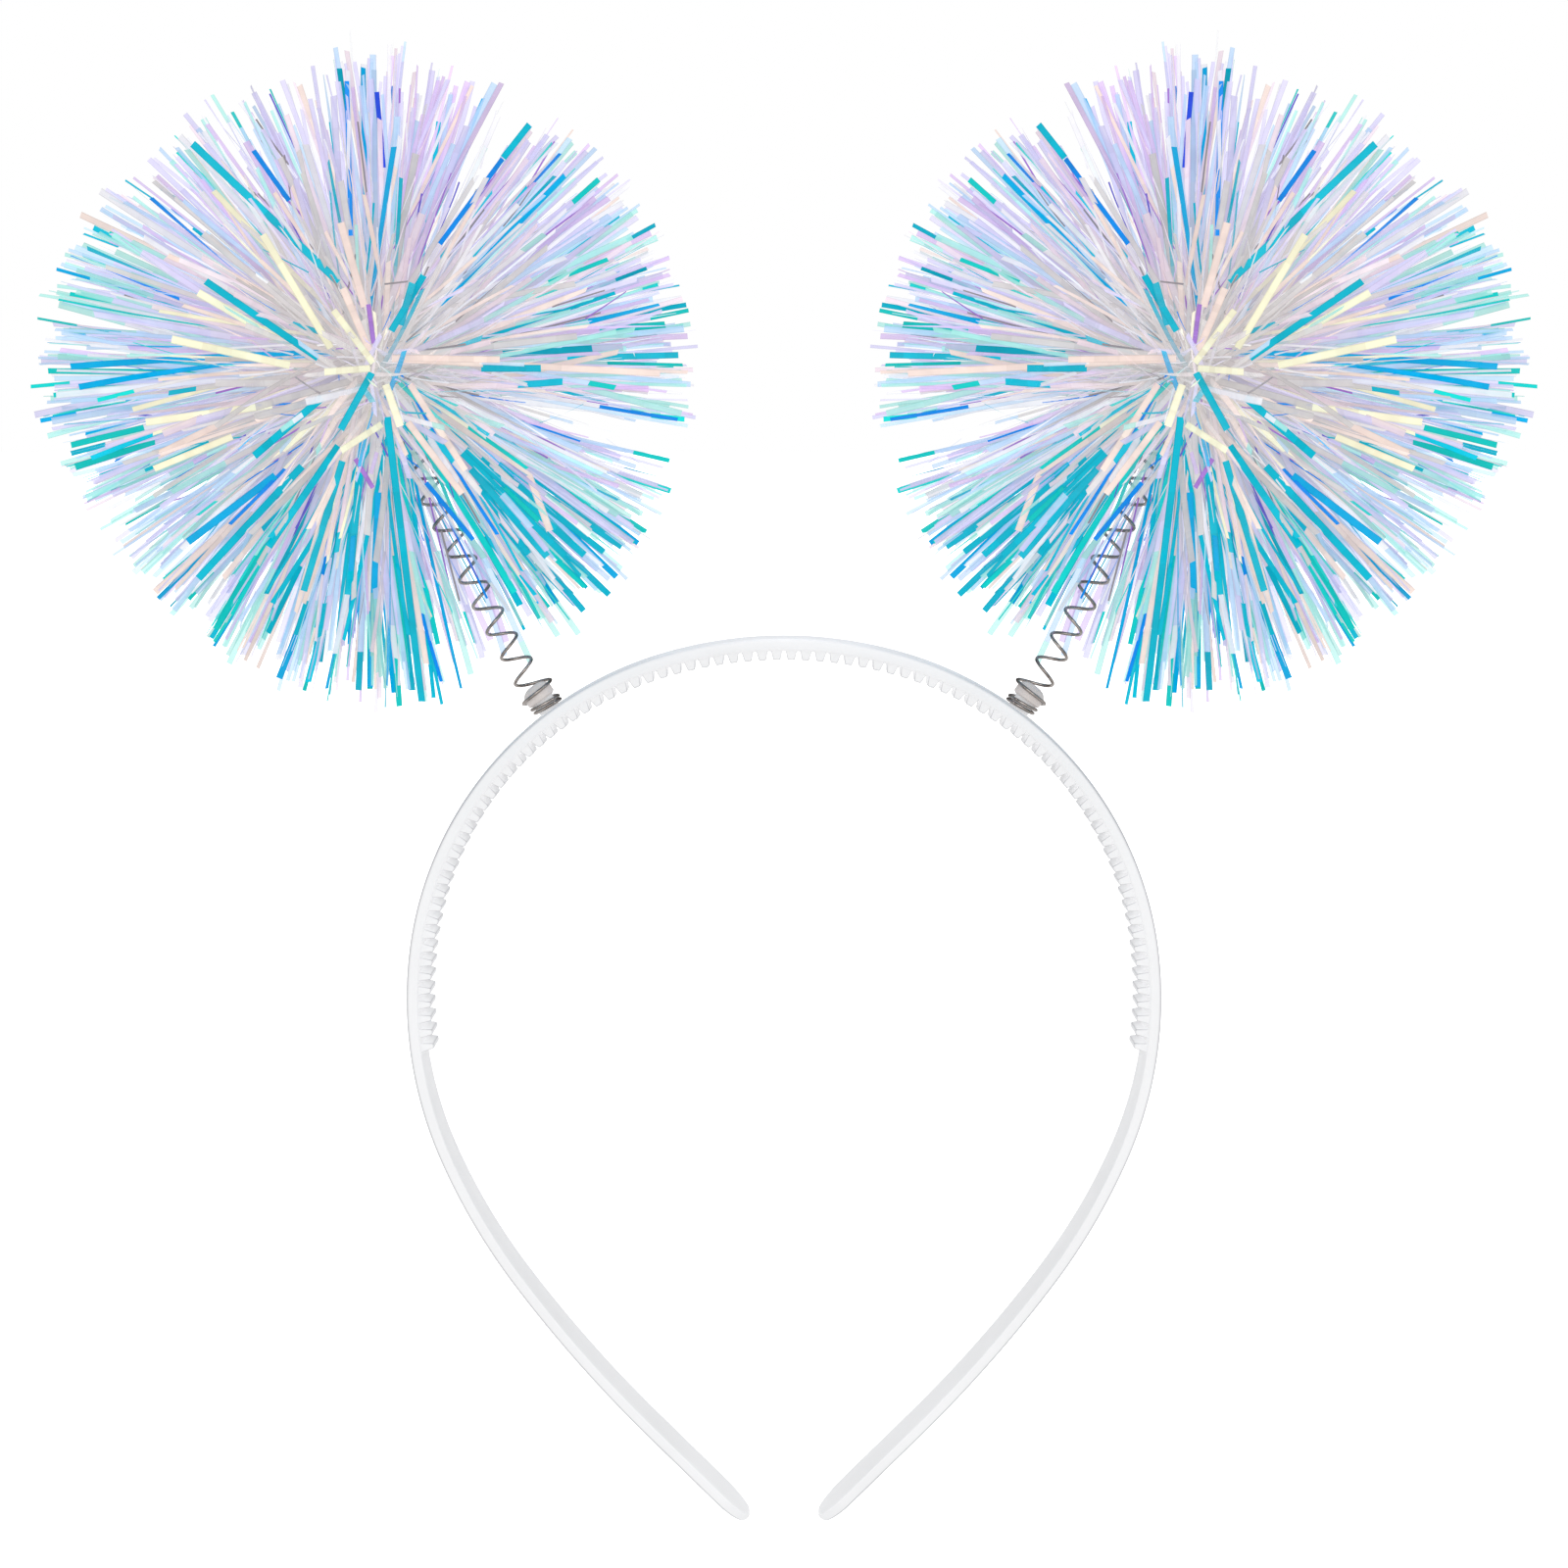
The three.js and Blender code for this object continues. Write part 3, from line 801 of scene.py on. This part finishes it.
def standout(strips, start, end, colour, length=STANDOUT_REACH):
    """A strip that shows its face to the front between two seen places (reach, degrees)."""
    rng = strips.rng
    inner = max(length * min(start[0] / end[0], STANDOUT_START), STANDOUT_DEPTH)
    root = seen_at(start[0], start[1], max(inner, start[0]))
    tip = seen_at(end[0], end[1], max(length, end[0]))
    to_camera = unit(CAMERA_PLACE - POMPOM_MIDDLE)
    tint = np.tile(tint_of(colour), (STRIP_SEGMENTS, 1))
    # painted light and shade along the strip
    tint[:, :3] *= rng.normal(1, STANDOUT_SHADES, (STRIP_SEGMENTS, 1))
    width = STANDOUT_WIDTH * rng.uniform(*STANDOUT_WIDTHS) * (DARK_WIDTH if colour in DARK else 1)
    twist = rng.normal(0, STANDOUT_TWIST)
    strips.add(root, tip, to_camera, width, twist, rng.normal(0, STANDOUT_BOW), np.clip(tint, 0, 1))


def behind_spring(strips):
    """Strips that show their faces to the front on both sides of the spring, and cross behind it."""
    to_camera = unit(CAMERA_PLACE - POMPOM_MIDDLE)
    for from_reach, from_degrees, to_reach, to_degrees, colour in BEHIND_SPRING:
        ends = []
        for reach, degrees in ((from_reach, from_degrees), (to_reach, to_degrees)):
            angle = math.radians(degrees)
            ends.append(np.array([reach * math.cos(angle), BEHIND, reach * math.sin(angle)]))
        tint = np.tile(tint_of(colour), (STRIP_SEGMENTS, 1))
        strips.add(ends[0], ends[1], to_camera, STANDOUT_WIDTH, BEHIND_TWIST, BEHIND_BOW, tint)


def teal_fan(strips):
    """Teal strips that spread a little from each other, in front of the others."""
    middle, half_width, count = TEAL_FAN
    for share in np.linspace(-1, 1, count):
        angle = middle + half_width * share
        start = (FAN_ROOT[0] + FAN_ROOT[1] * abs(share), angle)
        end = (FAN_TIP[0] + FAN_TIP[1] * share, angle + FAN_TURN * share)
        standout(strips, start, end, "teal", FAN_REACH)


def make_pompom(side, label, strips_arrays, material):
    vertices, faces, tints = strips_arrays
    points = vertices + POMPOM_MIDDLE
    if side > 0:
        points = points * np.array([-1, 1, 1])
        faces = faces[:, ::-1]
    pompom = make_piece(f"tinsel_{label}", points, faces.tolist(), material)
    colours = pompom.data.attributes.new("film_tint", "FLOAT_COLOR", "CORNER")
    colours.data.foreach_set("color", np.repeat(tints, faces.shape[1], axis=0).astype(np.float32).ravel())
    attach(pompom, f"bopper_{label}")
    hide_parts(f"pompom_{label}")


# Materials: pairs of sRGB colours that clouds of noise mix

BAND_WHITES = ("#F4F4F5", "#F7F7F8")
# Greys of painted shade, for the edge lines and the peg heads
BAND_GREYS = {"edge": ("#B0B0B4", "#BCBCBF"), "peg": ("#D6CDC9", "#E0D8D4")}
STEEL_GREYS = ("#7A706A", "#B4ABA5")
FILM_CLOUD = "#D9D6DE"
FILM_SPECULAR = 0.15
FILM_IOR = 1.55
NOISE_SPAN = (0.3, 0.7)  # between which most values of a noise lie
BUMP_DISTANCE = 0.0002


def new_material(name):
    material = bpy.data.materials.new(name)
    material.use_nodes = True
    nodes = material.node_tree.nodes
    return material, nodes, material.node_tree.links, nodes["Principled BSDF"]


def noise(nodes, links, scale, detail, low, high):
    """A noise in object space, spread from low to high."""
    place = nodes.new("ShaderNodeTexCoord")
    texture = nodes.new("ShaderNodeTexNoise")
    texture.inputs["Scale"].default_value = scale
    texture.inputs["Detail"].default_value = detail
    links.new(place.outputs["Object"], texture.inputs["Vector"])
    spread = nodes.new("ShaderNodeMapRange")
    spread.inputs["From Min"].default_value = NOISE_SPAN[0]
    spread.inputs["From Max"].default_value = NOISE_SPAN[1]
    spread.inputs["To Min"].default_value = low
    spread.inputs["To Max"].default_value = high
    links.new(texture.outputs["Fac"], spread.inputs["Value"])
    return spread.outputs["Result"]


def mixed(nodes, links, share, first, second, blend="MIX"):
    """Two colours blended by a share, each a linear colour or an output."""
    mix = nodes.new("ShaderNodeMix")
    mix.data_type = "RGBA"
    mix.blend_type = blend
    links.new(share, mix.inputs["Factor"])
    for socket, colour in ((mix.inputs["A"], first), (mix.inputs["B"], second)):
        if isinstance(colour, bpy.types.NodeSocket):
            links.new(colour, socket)
        else:
            socket.default_value = (*colour, 1)
    return mix.outputs["Result"]


def bump(nodes, links, height, strength, shader):
    node = nodes.new("ShaderNodeBump")
    node.inputs["Strength"].default_value = strength
    node.inputs["Distance"].default_value = BUMP_DISTANCE
    links.new(height, node.inputs["Height"])
    links.new(node.outputs["Normal"], shader.inputs["Normal"])


def lit(nodes, links, shader, colour, matt, glow):
    """Gives the shader a colour in two shares: light that it reflects, and a painted glow that it gives out
    itself.
    """
    reflected = nodes.new("ShaderNodeVectorMath")
    reflected.operation = "SCALE"
    reflected.inputs["Scale"].default_value = matt
    links.new(colour, reflected.inputs[0])
    links.new(reflected.outputs["Vector"], shader.inputs["Base Color"])
    links.new(colour, shader.inputs["Emission Color"])
    shader.inputs["Emission Strength"].default_value = glow


def band_plastic():
    """Milky white moulded plastic with faint flow clouds, painted shade on its edges and peg heads, and a
    painted glow that is stronger on the pale parts.
    """
    material, nodes, links, shader = new_material("band_plastic")
    cloud = noise(nodes, links, scale=60, detail=3, low=0, high=1)
    colour = mixed(nodes, links, cloud, *map(linear, BAND_WHITES))
    # painted shade: the marked edges and peg heads are mixed towards grey
    for name, greys in BAND_GREYS.items():
        mark = nodes.new("ShaderNodeAttribute")
        mark.attribute_name = name
        grey = mixed(nodes, links, cloud, *map(linear, greys))
        colour = mixed(nodes, links, mark.outputs["Fac"], colour, grey)
    # painted glow: part of the colour is given out as light
    lit(nodes, links, shader, colour, 1 - BAND_GLOW, BAND_GLOW)
    # painted light: the glow is stronger on the parts marked pale
    pale = nodes.new("ShaderNodeAttribute")
    pale.attribute_name = "pale"
    glow = nodes.new("ShaderNodeMapRange")
    glow.inputs["To Min"].default_value = BAND_GLOW
    glow.inputs["To Max"].default_value = PALE_GLOW
    links.new(pale.outputs["Fac"], glow.inputs["Value"])
    links.new(glow.outputs["Result"], shader.inputs["Emission Strength"])
    links.new(noise(nodes, links, scale=240, detail=2, low=0.3, high=0.42), shader.inputs["Roughness"])
    bump(nodes, links, noise(nodes, links, scale=900, detail=2, low=0, high=1), strength=0.06, shader=shader)
    return material


def spring_steel():
    """Drawn wire, brown grey, with fine streaks in its shine."""
    material, nodes, links, shader = new_material("spring_steel")
    shader.inputs["Metallic"].default_value = 1.0
    streak = noise(nodes, links, scale=700, detail=3, low=0, high=1)
    links.new(mixed(nodes, links, streak, *map(linear, STEEL_GREYS)), shader.inputs["Base Color"])
    links.new(noise(nodes, links, scale=1500, detail=2, low=0.12, high=0.24), shader.inputs["Roughness"])
    return material


def tinsel_film():
    """Clear iridescent film: each strip's own tint, clouded along it, see-through by its tint."""
    material, nodes, links, shader = new_material("tinsel_film")
    tint = nodes.new("ShaderNodeAttribute")
    tint.attribute_name = "film_tint"
    cloud = noise(nodes, links, scale=260, detail=2, low=0, high=0.35)
    clouded = mixed(nodes, links, cloud, tint.outputs["Color"], linear(FILM_CLOUD), "MULTIPLY")
    # painted glow on the film, beside its reflected colour
    lit(nodes, links, shader, clouded, FILM_MATT, FILM_GLOW)
    shader.inputs["Specular IOR Level"].default_value = FILM_SPECULAR
    links.new(tint.outputs["Alpha"], shader.inputs["Alpha"])
    links.new(noise(nodes, links, scale=500, detail=2, low=0.12, high=0.3), shader.inputs["Roughness"])
    shader.inputs["IOR"].default_value = FILM_IOR
    return material


# Stage, light and camera

FLOOR_HEIGHT = -152.0
FLOOR_SIZE = 200000.0
FLOOR_WHITE = 0.85
FLOOR_ROUGHNESS = 0.9
FILL_LIGHT = 0.86
SHINE_FRONT = 2.4  # brightness of the studio in reflections, in front of the object and behind it
SHINE_BACK = 0.2
SHINE_SPAN = (-1.0, -0.3)  # Y of the directions between which it changes
SOFTBOXES = (
    # place, width, height and watts of each lamp, aimed at the middle of the object
    ((0, -900, 260), 700, 500, 0.6),
    ((-420, -420, 480), 30, 420, 0.35),
    ((460, -300, 420), 30, 400, 0.3),
    ((0, -60, 700), 300, 200, 1.0),
)


def make_stage():
    material, nodes, links, shader = new_material("floor_white")
    shader.inputs["Base Color"].default_value = (FLOOR_WHITE, FLOOR_WHITE, FLOOR_WHITE, 1)
    shader.inputs["Roughness"].default_value = FLOOR_ROUGHNESS
    shader.inputs["Specular IOR Level"].default_value = 0
    shader.inputs["Emission Color"].default_value = (1, 1, 1, 1)
    seen = nodes.new("ShaderNodeLightPath")
    links.new(seen.outputs["Is Camera Ray"], shader.inputs["Emission Strength"])
    half = FLOOR_SIZE / 2
    corners = [(-half, -half, FLOOR_HEIGHT), (half, -half, FLOOR_HEIGHT)]
    corners += [(half, half, FLOOR_HEIGHT), (-half, half, FLOOR_HEIGHT)]
    make_piece("floor", corners, [(0, 1, 2, 3)], material)


def make_lights():
    world = bpy.data.worlds.new("studio")
    bpy.context.scene.world = world
    world.use_nodes = True
    nodes, links = world.node_tree.nodes, world.node_tree.links
    backdrop = nodes["Background"]
    backdrop.inputs["Color"].default_value = (1, 1, 1, 1)
    fill = nodes.new("ShaderNodeBackground")
    fill.inputs["Color"].default_value = (1, 1, 1, 1)
    fill.inputs["Strength"].default_value = FILL_LIGHT
    shine = nodes.new("ShaderNodeBackground")
    way = nodes.new("ShaderNodeTexCoord")
    depth = nodes.new("ShaderNodeSeparateXYZ")
    links.new(way.outputs["Generated"], depth.inputs["Vector"])
    fade = nodes.new("ShaderNodeMapRange")
    fade.inputs["From Min"].default_value = SHINE_SPAN[0]
    fade.inputs["From Max"].default_value = SHINE_SPAN[1]
    fade.inputs["To Min"].default_value = SHINE_FRONT
    fade.inputs["To Max"].default_value = SHINE_BACK
    links.new(depth.outputs["Y"], fade.inputs["Value"])
    links.new(fade.outputs["Result"], shine.inputs["Strength"])
    light = fill.outputs["Background"]
    seen = nodes.new("ShaderNodeLightPath")
    for ray, source in (("Is Glossy Ray", shine), ("Is Camera Ray", backdrop)):
        chosen = nodes.new("ShaderNodeMixShader")
        links.new(seen.outputs[ray], chosen.inputs["Fac"])
        links.new(light, chosen.inputs[1])
        links.new(source.outputs["Background"], chosen.inputs[2])
        light = chosen.outputs["Shader"]
    links.new(light, nodes["World Output"].inputs["Surface"])
    world.cycles.sampling_method = "NONE"
    aim = Vector((0, 0, CAMERA_AIM * MM))
    for i, (place, width, height, watts) in enumerate(SOFTBOXES):
        lamp = bpy.data.lights.new(f"softbox_{i}", "AREA")
        lamp.shape = "RECTANGLE"
        lamp.size = width * MM
        lamp.size_y = height * MM
        lamp.energy = watts
        holder = bpy.data.objects.new(f"softbox_{i}", lamp)
        holder.location = Vector(place) * MM
        holder.rotation_euler = (aim - holder.location).to_track_quat("-Z", "Y").to_euler()
        bpy.context.scene.collection.objects.link(holder)


def make_camera():
    data = bpy.data.cameras.new("camera")
    data.lens = CAMERA_LENS
    data.sensor_width = CAMERA_SENSOR
    data.clip_start = CAMERA_CLIP * MM
    camera = bpy.data.objects.new("camera", data)
    camera.location = Vector(CAMERA_PLACE) * MM
    camera.rotation_euler = (math.radians(90 - CAMERA_PITCH), 0, 0)
    bpy.context.scene.collection.objects.link(camera)
    bpy.context.scene.camera = camera


make_band(band_plastic())
steel = spring_steel()
film = tinsel_film()
left_strips = Strips(np.random.default_rng(SEED))
scatter_strips(left_strips)
scatter_slivers(left_strips)
for from_reach, from_degrees, to_reach, to_degrees, colour_name in STANDOUTS:
    standout(left_strips, (from_reach, from_degrees), (to_reach, to_degrees), colour_name)
behind_spring(left_strips)
teal_fan(left_strips)
for hand, hand_label in ((-1, "left"), (1, "right")):
    make_spring(hand, hand_label, steel)
    make_pompom(hand, hand_label, left_strips.arrays(), film)
make_stage()
make_lights()
make_camera()
bpy.context.scene.view_settings.view_transform = "Standard"
bpy.context.scene.cycles.transparent_max_bounces = 16
bpy.context.scene.cycles.diffuse_bounces = 8
